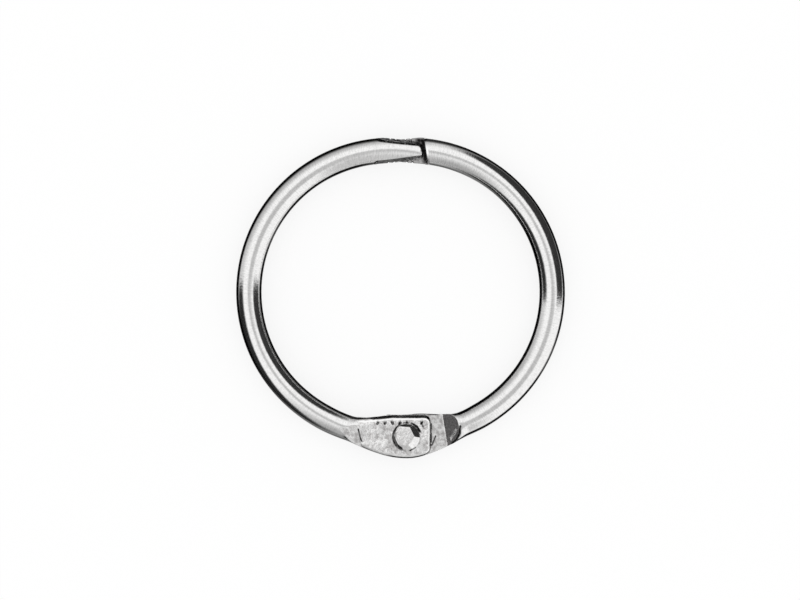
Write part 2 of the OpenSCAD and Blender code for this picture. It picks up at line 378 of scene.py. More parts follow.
    def lap_face(self, along):
        """Height of the toothed lap face."""
        lap = self.lap
        number = np.clip(np.round(along / lap.pitch), -(lap.grooves // 2), lap.grooves // 2)
        off = np.abs(along - number * lap.pitch)
        return lap.crest_play / 2 + lap.tooth * np.clip(1 - off / (lap.groove_width / 2), 0, 1)

    def sawn(self, x, y, z):
        """Behind the lap face, from the shoulder on."""
        along, across = self.lap_place(x, y)
        return np.minimum(self.past_shoulder(along, across), self.lap_face(along) - z)

    def on_cut(self, x, y, z):
        """Whether points lie on the sawn faces of the lap."""
        return (y > 0) & (np.abs(self.sawn(x, y, z)) < self.ON_CUT)

    def outside_tongue(self, x, y, z):
        """Outside the tapered, drafted and rounded tongue, from the shoulder on."""
        lap = self.lap
        along, across = self.lap_place(x, y)
        up = np.maximum(z, 0)
        drawn_in = up * math.tan(lap.draft)
        outer = across - lap.width / 2 + along * math.tan(lap.outer_taper) + drawn_in
        inner = -across - lap.width / 2 + along * math.tan(lap.inner_taper) + drawn_in
        end = along - lap.span / 2 + up * math.tan(lap.end_draft)
        least = self.size.edge
        tongue = rounded(outer, end, np.maximum(lap.nose_outer - drawn_in, least))
        tongue = rounded(tongue, inner, np.maximum(lap.nose_inner - drawn_in, least))
        near, far = self.TONGUE_FADE
        faded = tongue - far * ease(-along, self.foot - near, self.foot + far)
        return np.where(-along < self.foot + far, faded, -1)


# Skins over fields

PRESSED_REACH = 0.0068
FINE_STEP, WIRE_STEP = 0.000036, 0.00028
LEAST_DEPTH = 0.000012
CORNER_WEIGHT = 0.00012


def points_of(mesh):
    """A mesh's vertices as an array."""
    return np.array([v.co for v in mesh.vertices])


def move_points(mesh, co):
    """Puts a mesh's vertices at the points of an array."""
    mesh.vertices.foreach_set("co", co.astype(np.float32).ravel())
    mesh.update()


def noise_at(co, scale, offset=0):
    """Soft noise at each point of an array."""
    return np.array([noise.noise(p) for p in (co * scale + offset).tolist()])


def deepest(field, u, z):
    """The point of a section's grid that lies deepest in the metal."""
    flat = field.reshape(field.shape[0], -1)
    best = flat.argmin(1)
    return u.ravel()[best], z.ravel()[best], flat.min(1)


def surface_radius(field, reach, steps=22):
    """Distance to the surface along each of a field's rays, by halving."""
    low, high = np.zeros_like(reach), reach
    for _ in range(steps):
        middle = (low + high) / 2
        inside = field(middle) < 0
        low, high = np.where(inside, middle, low), np.where(inside, high, middle)
    return (low + high) / 2


def even_round(u, z, count, corner_weight):
    """Redistributes a closed section's points evenly, and closer at its corners."""
    du, dz = np.roll(u, -1) - u, np.roll(z, -1) - z
    gap = np.hypot(du, dz)
    heading = np.unwrap(np.arctan2(dz, du))
    bend = np.abs(np.diff(heading, append=heading[0] + 2 * math.pi))
    walk = np.concatenate([[0], np.cumsum(gap + corner_weight * bend)])
    want = np.arange(count) / count * walk[-1]
    new_u = np.interp(want, walk, np.append(u, u[0]))
    new_z = np.interp(want, walk, np.append(z, z[0]))
    return new_u, new_z


def station_list(arm):
    """Places along the centreline, closer at the hinge and at the lap, and closest at the ends."""
    lap, size = arm.lap, arm.size
    tip = arm.neck_length + arm.bend * (
        arm.lap_turn + math.asin(lap.span / 2 / arm.bend) - size.neck_turn)
    shoulder = tip - lap.span - lap.play
    hinge = arm.rivet_at - size.tab_end
    wire_at = arm.rivet_at + PRESSED_REACH
    lap_at = shoulder - 0.0004
    tip_near = tip - 0.00003
    places = [
        hinge + np.array([0.000004, 0.00001, 0.00002, 0.000035]),
        np.arange(hinge + 0.00006, wire_at, FINE_STEP),
        np.arange(wire_at, lap_at, WIRE_STEP),
        np.arange(lap_at, tip_near - 0.0001, FINE_STEP),
        np.linspace(tip_near - 0.0001, tip_near, 6),
    ]
    return np.concatenate(places), shoulder, tip


def section_axes(arm, s, shoulder, tip):
    """Direction across each section: square to the wire, but along the step and the shoulder."""
    size, lap = arm.size, arm.lap
    _, _, square = arm.place(s)
    step_at = size.step_at + arm.rivet_at
    near_step = ease(s, step_at - 0.0018, step_at)
    near_step = near_step * (1 - ease(s, step_at + 0.0004, step_at + 0.003))
    near_lap = ease(s, shoulder - 0.003, shoulder - 0.0001)
    toward_tip = ease(s, shoulder + 0.0004, tip - 0.0004)
    lap_way = arm.lap_turn + lap.shoulder_turn * (1 - toward_tip)
    way = square + (size.step_turn - square) * near_step
    return way + (lap_way - way) * near_lap


def arm_rings(arm, round_count=160, rays=480):
    """Points of the arm's skin as rings across the wire, with each ring's length along it."""
    s, shoulder, tip = station_list(arm)
    x, y, _ = arm.place(s)
    way = section_axes(arm, s, shoulder, tip)
    out_x, out_y = -np.sin(way), -np.cos(way)

    grid = np.linspace(-1, 1, 33)
    grid_u, grid_z = np.meshgrid(grid * 0.0016, grid * 0.0011)
    field = arm.metal(x[:, None, None] + grid_u * out_x[:, None, None],
                      y[:, None, None] + grid_u * out_y[:, None, None],
                      grid_z + 0 * x[:, None, None])
    centre_u, centre_z, depth = deepest(field, grid_u, grid_z)
    solid = depth < -LEAST_DEPTH
    window = np.ones(15) / 15
    pad = len(window) // 2
    soft_u = np.convolve(np.pad(centre_u, pad, mode="edge"), window, mode="valid")
    soft_z = np.convolve(np.pad(centre_z, pad, mode="edge"), window, mode="valid")
    soft = arm.metal(x + soft_u * out_x, y + soft_u * out_y, soft_z) < 0.6 * depth
    centre_u, centre_z = np.where(soft, soft_u, centre_u), np.where(soft, soft_z, centre_z)
    s, x, y, out_x, out_y, centre_u, centre_z = (
        v[solid] for v in (s, x, y, out_x, out_y, centre_u, centre_z))

    angles = math.pi / 2 + np.arange(rays) * 2 * math.pi / rays
    cos, sin = np.cos(angles), np.sin(angles)

    def along_rays(radius):
        u, z = centre_u[:, None] + radius * cos, centre_z[:, None] + radius * sin
        return arm.metal(x[:, None] + u * out_x[:, None], y[:, None] + u * out_y[:, None], z)

    radius = surface_radius(along_rays, np.full((len(s), rays), 0.0033))
    rings = np.empty((len(s), round_count, 3))
    for j in range(len(s)):
        u, z = even_round(centre_u[j] + radius[j] * cos, centre_z[j] + radius[j] * sin,
                          round_count, CORNER_WEIGHT)
        rings[j, :, 0] = x[j] + u * out_x[j]
        rings[j, :, 1] = y[j] + u * out_y[j]
        rings[j, :, 2] = z
    return rings, s


def ring_mesh(name, rings, along=None):
    """A closed mesh over rings of points, with a flat fan at each end and a UV map."""
    m, n = rings.shape[:2]
    verts = np.vstack([rings.reshape(-1, 3), rings[0].mean(0), rings[-1].mean(0)])
    row, col = np.meshgrid(np.arange(m - 1), np.arange(n), indexing="ij")
    nxt = (col + 1) % n
    quads = np.stack([row * n + col, row * n + nxt, (row + 1) * n + nxt, (row + 1) * n + col], -1)
    quads = quads.reshape(-1, 4)
    first, last = m * n, m * n + 1
    ring = np.arange(n)
    fan_a = np.stack([np.full(n, first), (ring + 1) % n, ring], -1)
    fan_b = np.stack([np.full(n, last), (m - 1) * n + ring, (m - 1) * n + (ring + 1) % n], -1)
    mesh = bpy.data.meshes.new(name)
    mesh.from_pydata(verts.tolist(), [], quads.tolist() + fan_a.tolist() + fan_b.tolist())
    if along is not None:
        step = np.linalg.norm(np.roll(rings, -1, 1) - rings, axis=2)
        around = np.concatenate([np.zeros((m, 1)), np.cumsum(step, 1)], 1)
        u = np.stack([along[row], along[row], along[row + 1], along[row + 1]], -1)
        v = np.stack([around[row, col], around[row, col + 1], around[row + 1, col + 1],
                      around[row + 1, col]], -1)
        uv = np.stack([u, v], -1).reshape(-1, 2)
        uv = np.vstack([uv, np.zeros((6 * n, 2))])
        layer = mesh.uv_layers.new(name="wire")
        layer.uv.foreach_set("vector", uv.astype(np.float32).ravel())
    mesh.update()
    return mesh


def face_outwards(mesh):
    """Turns every face outwards, going by the mesh's signed volume."""
    mesh.calc_loop_triangles()
    co = points_of(mesh)
    tris = np.array([t.vertices for t in mesh.loop_triangles])
    volume = np.einsum("ij,ij->i", co[tris[:, 0]], np.cross(co[tris[:, 1]], co[tris[:, 2]])).sum()
    if volume < 0:
        mesh.flip_normals()


def worked_zones(arm, co):
    """How far each point belongs to the pressed tab, to the lap and to the tongue's flanks."""
    s, u = arm.unroll(co[:, 0], co[:, 1])
    d = s - arm.rivet_at
    before_crease = 1 - ease(arm.past_crease(co[:, 0], co[:, 1]), -0.0002, 0.0001)
    tab = np.where(co[:, 1] < 0, before_crease, 0) * (1 - ease(d, 0.005, 0.006))
    along, across = arm.lap_place(co[:, 0], co[:, 1])
    past = arm.past_shoulder(along, across)
    lapped = np.where(co[:, 1] > 0, ease(past, -0.00003, 0.00003), 0)
    off_top = ease(arm.wire_r - np.hypot(u, co[:, 2]), 0.00003, 0.0001)
    return tab, lapped, lapped * off_top


def outer_face(z):
    """1 at the height of a tab's outer face and 0 at the parting face."""
    return ease(z, 0.0005, 0.0008)


def pressed_dents(mesh, arm, depth):
    """Roughens the pressed tab and the tongue's flanks, and lets the drawn wire wander a little."""
    co = points_of(mesh)
    normals = np.array([v.normal for v in mesh.vertices])
    tab, lapped, flank = worked_zones(arm, co)
    sunk = flank * ease(co[:, 2], 0.0001, 0.0002)
    coarse, fine, wander = noise_at(co, 1500), noise_at(co, 4200, 7), noise_at(co, 210, 3)
    beaten = np.maximum(tab * outer_face(co[:, 2]), 1.3 * sunk)
    rough = np.minimum(coarse + 0.6 * fine - 1.2, 0) * depth * beaten
    plain = (1 - tab) * (1 - lapped)
    co += normals * (rough + np.minimum(wander - 0.8, 0) * 0.4 * depth * plain)[:, None]
    move_points(mesh, co)


# Lines of painted shade and dirt on a tab's outer face: points measured from the rivet, then width
# and darkness
SHADE_AND_DIRT_LINES = (
    ((-0.00435, 0.00069), (-0.00426, 0.0003), (-0.00416, -0.00015), (-0.00404, -0.0004),
     0.00009, 1.0),
    ((0.00033, -0.00119), (0.00074, -0.00093), 0.00016, 1.0),
    ((0.00127, 0.00134), (0.00148, 0.0009), 0.0001, 0.9),
    ((-0.00045, 0.00126), (0.0002, 0.00132), 0.00008, 0.7),
    ((0.00044, 0.00122), (0.00092, 0.00094), (0.0012, 0.0005), 0.00016, 1.0),
)
# Lines on the step and on the parting face, from the rivet too: a dark line and a bright line
# painted on the step, and a scratch
DARK_STEP_LINE = ((-0.00482, 0.00095), (-0.00478, 0.0003), (-0.00448, -0.0003), (-0.00393, -0.00078))
BRIGHT_STEP_LINE = ((-0.00443, 0.0006), (-0.00428, 0.00025), (-0.00392, -0.00028), (-0.00374, -0.0005))
SCRATCH = ((-0.00262, 0.00002), (-0.00229, -0.00078))


def near_line(x, y, points, width):
    """1 on a line through some points and 0 away from it."""
    gap = np.full(x.shape, 1.0)
    for (x0, y0), (x1, y1) in zip(points, points[1:]):
        span = (x1 - x0) ** 2 + (y1 - y0) ** 2
        t = np.clip(((x - x0) * (x1 - x0) + (y - y0) * (y1 - y0)) / span, 0, 1)
        gap = np.minimum(gap, np.hypot(x - x0 - t * (x1 - x0), y - y0 - t * (y1 - y0)))
    return 1 - ease(gap, width / 2, width / 2 + 0.00004)


def store(mesh, name, values):
    """Keeps one value a vertex for the materials."""
    layer = mesh.attributes.new(name, "FLOAT", "POINT")
    layer.data.foreach_set("value", np.clip(values, 0, 1).astype(np.float32))


def tab_shade_and_wear(arm, x, y, z, head, patchy):
    """Painted shade and dirt on a tab's outer face, round the rivet, in the marks and at the edges,
    and its rim painted bright as rubbed plate and painted highlight.
    """
    across_rivet, up = x + arm.rivet_at, y + arm.hinge_y
    around = np.hypot(across_rivet, up) - head / 2
    # Painted shade in a ring round the rivet's head, darkest on its left side
    left = 0.1 + 0.9 * ease(-across_rivet, -0.0002, 0.0008)
    dark = left * (1 - ease(np.abs(around), 0.00008, 0.00016))
    # Dark lines of painted shade and dirt
    for *points, width, darkness in SHADE_AND_DIRT_LINES:
        dark = np.maximum(dark, darkness * near_line(across_rivet, up, points, width))
    # Painted shade inside the press marks
    sunk = ease(arm.marks(x, y, z), -0.00005, -0.00001) * ease(arm.face - z, 0.000015, 0.00004)
    inset = arm.face_inset(x, y)
    d = arm.unroll(x, y)[0] - arm.rivet_at
    # Painted shade in a broken line along the tab's end, and along its outer edge near the rivet
    end = 1 - ease(d + arm.size.tab_end, 0.0001, 0.00016)
    broken = end * ease(patchy, -0.3, -0.05)
    hem = np.where(up < 0, 1 - ease(inset, 0.00001, 0.00004), 0) * (1 - ease(d, 0.0012, 0.0017))
    front = np.where(y < 0, outer_face(z), 0)
    dark = np.maximum(np.maximum(dark, sunk), np.maximum(broken, 0.95 * hem)) * front
    # The shallow rim inside the edges, painted bright as rubbed plate and painted highlight
    rim_end = arm.size.rim
    rim = ease(inset, -0.00002, 0.00002) * (1 - ease(inset, rim_end, rim_end + 0.00005))
    return dark, rim * (front * (1 - ease(arm.past_crease(x, y), -0.0002, 0)))


def parting_shade_and_wear(arm, x, y, z, patchy):
    """Painted shade on the parting face beside the other arm's tab and along the inner edge, a
    scratch, and a dark and a bright line painted on the step.
    """
    across_rivet, up = x + arm.rivet_at, y + arm.hinge_y
    s, u = arm.unroll(x, y)
    on_rear = np.where((y < 0) & (z < -0.0003), 1.0, 0.0)
    on_parting = np.where((y < 0) & (np.abs(z) < 0.0001), 1.0, 0.0)
    # Painted shade on the parting face next to the other arm's tab, and along the inner edge
    other_tab = arm.face_inset(-x - 2 * arm.rivet_at, y)
    beside_tab = ease(other_tab, -0.00026, -0.00016) * ease(patchy, -0.4, -0.1)
    off_edge = np.abs(u) - arm.half_width(s - arm.rivet_at, arm.FLARE_IN)
    inner_edge = np.where(u < 0, ease(off_edge, -0.00014, -0.00006), 0)
    inner_edge = inner_edge * (1 - ease(-across_rivet, 0.0026, 0.0031))
    scratch = near_line(across_rivet, up, SCRATCH, 0.00009)
    parting = on_parting * np.maximum(scratch, np.maximum(beside_tab, inner_edge))
    # A dark line and a bright line painted on the step
    step = on_rear * near_line(across_rivet, up, DARK_STEP_LINE, 0.00018)
    bright_step = 0.8 * on_rear * near_line(across_rivet, up, BRIGHT_STEP_LINE, 0.0002)
    return np.maximum(step, parting), bright_step


def lap_shade_and_wear(arm, x, y, z):
    """Painted shade at a tongue's root and in the crease beside it, and the lap's edges painted
    bright as rubbed edges and painted highlights.
    """
    along, across = arm.lap_place(x, y)
    past = arm.past_shoulder(along, across)
    off_top = arm.wire_r - np.hypot(arm.unroll(x, y)[1], z)
    # Painted shade in the gap at the tongue's root
    reach = np.where(across > 0.0006, 0.00035, 0)
    root = ease(past, -0.00004, 0.00002) * (1 - ease(past - reach, 0.00015, 0.0006))
    root = np.where(y > 0, root, 0) * ease(off_top, 0.00005, 0.0002)
    # Painted shade along the crease beside the tongue
    beside = ease(along, -arm.foot - 0.0002, -arm.foot + 0.0003)
    beside = np.where((y > 0) & (z > 0.0003) & (across > 0), beside, 0)
    crease = beside * ease(arm.outside_tongue(x, y, z), -0.00016, -0.00012)
    # The chamfer's edge and the cut faces near the top, painted bright as rubbed edges and painted
    # highlights
    chamfer = arm.lap.chamfer
    edge = np.where((y > 0) & (z < 0), ease(past, -chamfer, -chamfer + 0.00003), 0)
    edge *= 1 - ease(past, -0.00004, 0)
    cut = np.where(arm.on_cut(x, y, z), ease(off_top, 0.00005, 0.0001), 0)
    return np.maximum(root, crease), np.maximum(edge, 0.25 * cut)


def paint_shade_and_wear(mesh, arm, head):
    """Paints dirt and painted shade in the creases and gaps, and the edges rubbed bright with
    painted highlights.
    """
    co = points_of(mesh)
    x, y, z = co.T
    patchy = noise_at(co, 5200, 11)
    tab_dark, tab_bright = tab_shade_and_wear(arm, x, y, z, head, patchy)
    rear_dark, rear_bright = parting_shade_and_wear(arm, x, y, z, patchy)
    lap_dark, lap_bright = lap_shade_and_wear(arm, x, y, z)
    dark = np.maximum(np.maximum(tab_dark, rear_dark), lap_dark) * np.clip(1 + 0.5 * patchy, 0, 1)
    bright = np.maximum(np.maximum(tab_bright, rear_bright), lap_bright)
    # Dirt and painted shade, then rubbed edges and painted highlights
    store(mesh, "dirt_and_shade", dark)
    store(mesh, "rub_and_highlight", bright * (1 - dark))


# Materials


def new_material(name):
    """A material with only its shader and output, and the two nodes."""
    material = bpy.data.materials.new(name)
    material.use_nodes = True
    tree = material.node_tree
    tree.nodes.clear()
    shader = tree.nodes.new("ShaderNodeBsdfPrincipled")
    output = tree.nodes.new("ShaderNodeOutputMaterial")
    tree.links.new(shader.outputs["BSDF"], output.inputs["Surface"])
    return material, tree, shader


def add(tree, kind, **settings):
    """A node with its properties set and its inputs set by name."""
    node = tree.nodes.new(kind)
    for key, value in settings.items():
        if key in node.inputs:
            node.inputs[key].default_value = value
        else:
            setattr(node, key, value)
    return node


def scaled(tree, vector, x, y, z):
    """A vector stretched along each axis."""
    mapping = add(tree, "ShaderNodeMapping", Scale=(x, y, z))
    tree.links.new(vector, mapping.inputs["Vector"])
    return mapping.outputs["Vector"]


def noise_of(tree, vector, scale, detail, roughness=0.5):
    """A noise texture's factor."""
    node = add(tree, "ShaderNodeTexNoise", Scale=scale, Detail=detail, Roughness=roughness)
    tree.links.new(vector, node.inputs["Vector"])
    return node.outputs["Fac"]


def ramp(tree, factor, stops):
    """A colour ramp with the given places and colours."""
    node = tree.nodes.new("ShaderNodeValToRGB")
    elements = node.color_ramp.elements
    while len(elements) < len(stops):
        elements.new(0.5)
    for element, (place, colour) in zip(elements, stops):
        element.position = place
        element.color = (*colour, 1)
    tree.links.new(factor, node.inputs["Fac"])
    return node.outputs["Color"]


def spread(tree, factor, low, high, start=0.0, end=1.0):
    """A factor mapped from start..end to low..high."""
    node = add(tree, "ShaderNodeMapRange", clamp=True)
    for key, value in (("From Min", start), ("From Max", end), ("To Min", low), ("To Max", high)):
        node.inputs[key].default_value = value
    tree.links.new(factor, node.inputs["Value"])
    return node.outputs["Result"]


def bumped(tree, shader, heights):
    """Chains bump nodes for (height, strength, distance) into the shader's normal."""
    normal = None
    for height, strength, distance in heights:
        node = add(tree, "ShaderNodeBump", Distance=distance)
        if isinstance(strength, bpy.types.NodeSocket):
            tree.links.new(strength, node.inputs["Strength"])
        else:
            node.inputs["Strength"].default_value = strength
        tree.links.new(height, node.inputs["Height"])
        if normal:
            tree.links.new(normal, node.inputs["Normal"])
        normal = node.outputs["Normal"]
    tree.links.new(normal, shader.inputs["Normal"])


def painted(tree, name):
    """A value painted on the mesh."""
    return add(tree, "ShaderNodeAttribute", attribute_name=name).outputs["Fac"]


def mixed(tree, factor, first, second):
    """Two colours, or a socket and a colour, mixed by a factor."""
    mix = add(tree, "ShaderNodeMix", data_type="RGBA")
    tree.links.new(factor, mix.inputs["Factor"])
    tree.links.new(first, mix.inputs["A"])
    mix.inputs["B"].default_value = (*second, 1)
    return mix.outputs["Result"]


def plated(name, finish):
    """A metal with the mesh's painted wear and painted light: rubbed edges and painted highlights
    are smooth and bright, dirt and painted shade are dark.
    """
    material, tree, shader = new_material(name)
    shader.inputs["Metallic"].default_value = 1
    place = add(tree, "ShaderNodeTexCoord").outputs["Object"]

    def finished(colour, roughness):
        # Rubbed edges and painted highlights turn bright and smooth; dirt and painted shade turn
        # near black
        rub_and_highlight = painted(tree, "rub_and_highlight")
        bright = mixed(tree, rub_and_highlight, colour, finish.polished_and_highlight_colour)
        worn_and_shaded = mixed(tree, painted(tree, "dirt_and_shade"), bright, finish.dirt_and_shade_colour)
        tree.links.new(worn_and_shaded, shader.inputs["Base Color"])
        smoothed = chain(tree, "MULTIPLY", roughness, chain(tree, "MULTIPLY_ADD", rub_and_highlight, -0.7, 1.0))
        tree.links.new(smoothed, shader.inputs["Roughness"])
        return material

    return tree, shader, place, finished


def drawn_plate(finish):
    """Bright plate over drawn wire: fine marks across it, a soft orange peel and small specks."""
    tree, shader, place, finished = plated("drawn_plate", finish)
    uv = add(tree, "ShaderNodeUVMap", uv_map="wire").outputs["UV"]
    marks = noise_of(tree, scaled(tree, uv, 9000, 1400, 1), 1, 3, 0.6)
    peel = noise_of(tree, place, 2600, 2)
    specks = noise_of(tree, place, 6500, 3, 0.7)
    cloud = noise_of(tree, place, 420, 4, 0.6)
    bumped(tree, shader, [(peel, 0.6, 0.000006), (marks, 0.6, 0.000005), (specks, 0.6, 0.0000035)])
    plate = tuple(finish.plate)
    duller = tuple(0.82 * c for c in plate)
    both = chain(tree, "MULTIPLY_ADD", specks, 0.5, chain(tree, "MULTIPLY", marks, 0.5))
    return finished(ramp(tree, both, [(0.38, duller), (0.56, plate)]),
                    spread(tree, cloud, finish.gloss * 0.8, finish.gloss * 1.5))


def pressed_plate(finish):
    """Plate worked by the press: smooth and beaten patches, with bright flecks."""
    tree, shader, place, finished = plated("pressed_plate", finish)
    patch = spread(tree, noise_of(tree, place, 620, 2, 0.5), 0.25, 1, 0.42, 0.6)
    beaten = noise_of(tree, place, 2300, 2, 0.5)
    grain = noise_of(tree, place, 5600, 3, 0.6)
    kept = chain(tree, "SUBTRACT", 1.0, painted(tree, "rub_and_highlight"))
    way = add(tree, "ShaderNodeSeparateXYZ")
    tree.links.new(place, way.inputs["Vector"])
    on_face = spread(tree, chain(tree, "ABSOLUTE", way.outputs["Z"]), 0.25, 1, 0.0008, 0.001)
    worked = chain(tree, "MAXIMUM", on_face, chain(tree, "GREATER_THAN", way.outputs["Y"], 0.0))
    depth = chain(tree, "MULTIPLY", chain(tree, "MULTIPLY", patch, kept), worked)
    bumped(tree, shader, [(beaten, depth, 0.00017), (grain, depth, 0.000012)])
    fleck = chain(tree, "MULTIPLY_ADD", beaten, 0.6, chain(tree, "MULTIPLY", grain, 0.4))
    return finished(ramp(tree, fleck, [(0.4, tuple(finish.tarnish)), (0.56, tuple(finish.plate))]),
                    spread(tree, beaten, finish.pressed * 0.6, finish.pressed * 1.4, 0.3, 0.7))


def sawn_steel_and_shade(finish):
    """Bare steel of the lap's faces and of the steps, dull and dark, the dark colour also standing
    in for their shade.
    """
    tree, shader, place, finished = plated("sawn_steel_and_shade", finish)
    grain = noise_of(tree, scaled(tree, place, 7000, 2000, 7000), 1, 3, 0.6)
    speck = noise_of(tree, place, 5200, 3, 0.7)
    bumped(tree, shader, [(grain, 0.6, 0.00001), (speck, 0.6, 0.00002)])
    steel_and_shade_colour = tuple(finish.steel_and_shade_colour)
    duller = tuple(0.5 * c for c in steel_and_shade_colour)
    return finished(ramp(tree, speck, [(0.35, duller), (0.62, steel_and_shade_colour)]),
                    spread(tree, grain, 0.4, 0.5))


def struck_plate(finish):
    """The struck rivet head: bright flats, a beaten top, and painted shade round its foot."""
    tree, shader, place, finished = plated("struck_plate", finish)
    top = spread(tree, painted(tree, "struck"), 0.2, 1)
    beaten = noise_of(tree, place, 2600, 3, 0.6)
    grain = noise_of(tree, place, 5200, 4, 0.6)
    bumped(tree, shader, [(beaten, top, 0.00007), (grain, top, 0.00001)])
    half_way = tuple(0.5 * (a + b) for a, b in zip(finish.tarnish, finish.plate))
    return finished(ramp(tree, grain, [(0.38, half_way), (0.58, tuple(finish.plate))]),
                    spread(tree, beaten, finish.gloss * 0.8, finish.pressed * 0.8, 0.3, 0.7))


# Operators


def link_mesh(mesh, name, materials):
    """Puts a mesh in the scene as a smooth piece with its materials."""
    for material in materials:
        mesh.materials.append(material)
    mesh.polygons.foreach_set("use_smooth", [True] * len(mesh.polygons))
    piece = bpy.data.objects.new(name, mesh)
    bpy.context.scene.collection.objects.link(piece)
    return piece


def settings():
    """The scene's four property groups."""
    scene = bpy.context.scene
    return scene.book_ring, scene.book_ring_lap, scene.book_ring_rivet, scene.book_ring_finish


def finish_material(name):
    """A plate material, made once."""
    plates = (drawn_plate, pressed_plate, sawn_steel_and_shade, struck_plate)
    makers = {maker.__name__: maker for maker in plates}
    return bpy.data.materials.get(name) or makers[name](settings()[3])


def paint_zones(mesh, arm):
    """Gives the pressed end, the tongue's flanks and the lap's cut faces their material slots, and
    the steps the dark bare steel that also stands in for their shade.
    """
    centre = np.array([p.center for p in mesh.polygons])
    x, y, z = centre.T
    tab, _, flank = worked_zones(arm, centre)
    on_step = (y < 0) & (np.abs(arm.step(x, y, z)) < arm.ON_FLAT) & (z < -arm.size.hinge_gap)
    _, u = arm.unroll(x, y)
    on_lead = (y < 0) & (np.abs(arm.lead(x, y, z, u)) < arm.ON_FLAT)
    slot = np.where(((tab > 0.5) & ~on_step) | on_lead | (flank > 0.4), 1, 0)
    # The steps take the dark bare steel as painted shade
    slot = np.where(arm.on_cut(x, y, z) | on_step, 2, slot)
    mesh.polygons.foreach_set("material_index", slot.astype(np.int32))


class BOOKRING_OT_arms(bpy.types.Operator):
    """Build the two wire arms with their pressed tabs and toothed tongues"""

    bl_idname = "book_ring.arms"
    bl_label = "Wire arms"

    def execute(self, context):
        size, lap, rivet, _ = settings()
        for node, side in (("left_arm", -1), ("right_arm", 1)):
            arm = Arm(size, lap, rivet, side * HINGE.x)
            rings, along = arm_rings(arm)
            mesh = ring_mesh(node + "_wire", rings, along)
            face_outwards(mesh)
            pressed_dents(mesh, arm, size.dents)
            paint_shade_and_wear(mesh, arm, rivet.head)
            slots = ("drawn_plate", "pressed_plate", "sawn_steel_and_shade")
            piece = link_mesh(mesh, node + "_wire", [finish_material(name) for name in slots])
            paint_zones(mesh, arm)
            if side > 0:
                move_points(mesh, points_of(mesh) * (-1, 1, -1))
            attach(piece, node)
            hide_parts(node)
        return {"FINISHED"}


def rivet_field(rivet):
    """Field of the struck front head, from its seat at z = 0."""
    slope_foot = 0.2 * rivet.height

    def field(x, y, z):
        head = rounded(np.hypot(x, y) - rivet.head / 2, z - rivet.height, 0.00004)
        for i in range(rivet.flats):
            facing = rivet.facing + i * 2 * math.pi / rivet.flats
            inset = (rivet.head - rivet.top) / 2 - rivet.off * math.cos(facing - rivet.off_angle)
            rise = rivet.height - slope_foot
            steep = math.hypot(rise, inset)
            out = x * math.cos(facing) + y * math.sin(facing) - rivet.head / 2
            flat = (out * rise + (z - slope_foot) * inset) / steep
            head = rounded(head, flat, 0.00003)
        return rounded(head, -z, 0.00002)

    return field


def button_field(rivet):
    """Field of the plain rear head, from its seat at z = 0 down."""
    def field(x, y, z):
        side = np.hypot(x, y) - rivet.head / 2
        return rounded(rounded(side, -z - rivet.rear_height, 0.6 * rivet.rear_height), z, 0.00002)

    return field


def ball_rings(field, middle, rows=90, columns=144):
    """Rings of points over a field's surface, as seen from a point inside it."""
    tilt = (np.arange(rows) + 0.5) / rows * math.pi
    turn = np.arange(columns) / columns * 2 * math.pi
    dx, dy = np.outer(np.sin(tilt), np.cos(turn)), np.outer(np.sin(tilt), np.sin(turn))
    dz = np.outer(np.cos(tilt), np.ones(columns))

    def along_rays(radius):
        return field(radius * dx, radius * dy, middle + radius * dz)

    radius = surface_radius(along_rays, np.full(dx.shape, 0.003))
    return np.stack([radius * dx, radius * dy, middle + radius * dz], -1)


def shank_rings(rivet, low, high, columns=96):
    """Rings of points at the two ends of the shank."""
    turn = np.arange(columns) / columns * 2 * math.pi
    ring = np.stack([rivet.shank / 2 * np.cos(turn), rivet.shank / 2 * np.sin(turn), 0 * turn], -1)
    return np.stack([ring + (0, 0, low), ring + (0, 0, high)])


def joined(name, parts):
    """One mesh out of several, each turned outwards and then removed."""
    verts, faces = [], []
    for part in parts:
        face_outwards(part)
        base = len(verts)
        verts += [tuple(v.co) for v in part.vertices]
        faces += [[base + i for i in p.vertices] for p in part.polygons]
        bpy.data.meshes.remove(part)
    mesh = bpy.data.meshes.new(name)
    mesh.from_pydata(verts, [], faces)
    return mesh


def paint_rivet_foot_shade(mesh, rivet, seat):
    """Paints shade round the struck head's foot, reaching furthest up the head on its left side."""
    co = points_of(mesh) - (HINGE.x, HINGE.y, seat)
    turn = np.arctan2(co[:, 1], co[:, 0])
    # Painted shade, reaching highest up the head towards its left
    shaded_up_to = 0.95 * ease(np.cos(turn - math.radians(195)), 0.35, 0.85)
    height = co[:, 2] / rivet.height
    dark = 1 - ease(height, shaded_up_to, shaded_up_to + 0.12)
    outer = ease(np.hypot(co[:, 0], co[:, 1]), 0.4 * rivet.head, 0.43 * rivet.head)
    store(mesh, "dirt_and_shade", dark * outer)
    store(mesh, "struck", ease(np.array([v.normal.z for v in mesh.vertices]), 0.85, 0.97))


class BOOKRING_OT_rivet(bpy.types.Operator):
    """Build the rivet with its struck front head, shank and plain rear head"""

    bl_idname = "book_ring.rivet"
    bl_label = "Hinge rivet"

    def execute(self, context):
        size, _, rivet, _ = settings()
        seat = size.wire / 2 - size.tab_relief
        rear = BOTTOM + rivet.rear_height
        at = np.array([HINGE.x, HINGE.y, 0])
        front = ball_rings(rivet_field(rivet), rivet.height / 2) + at + (0, 0, seat)
        back = ball_rings(button_field(rivet), -rivet.rear_height / 2) + at + (0, 0, rear)
        shank = shank_rings(rivet, rear, seat) + at
        parts = [ring_mesh("part", rings) for rings in (front, back, shank)]
        mesh = joined("rivet_struck", parts)
        paint_rivet_foot_shade(mesh, rivet, seat)
        piece = link_mesh(mesh, "rivet_struck", [finish_material("struck_plate")])
        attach(piece, "left_arm")
        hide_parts("hinge_rivet")
        return {"FINISHED"}


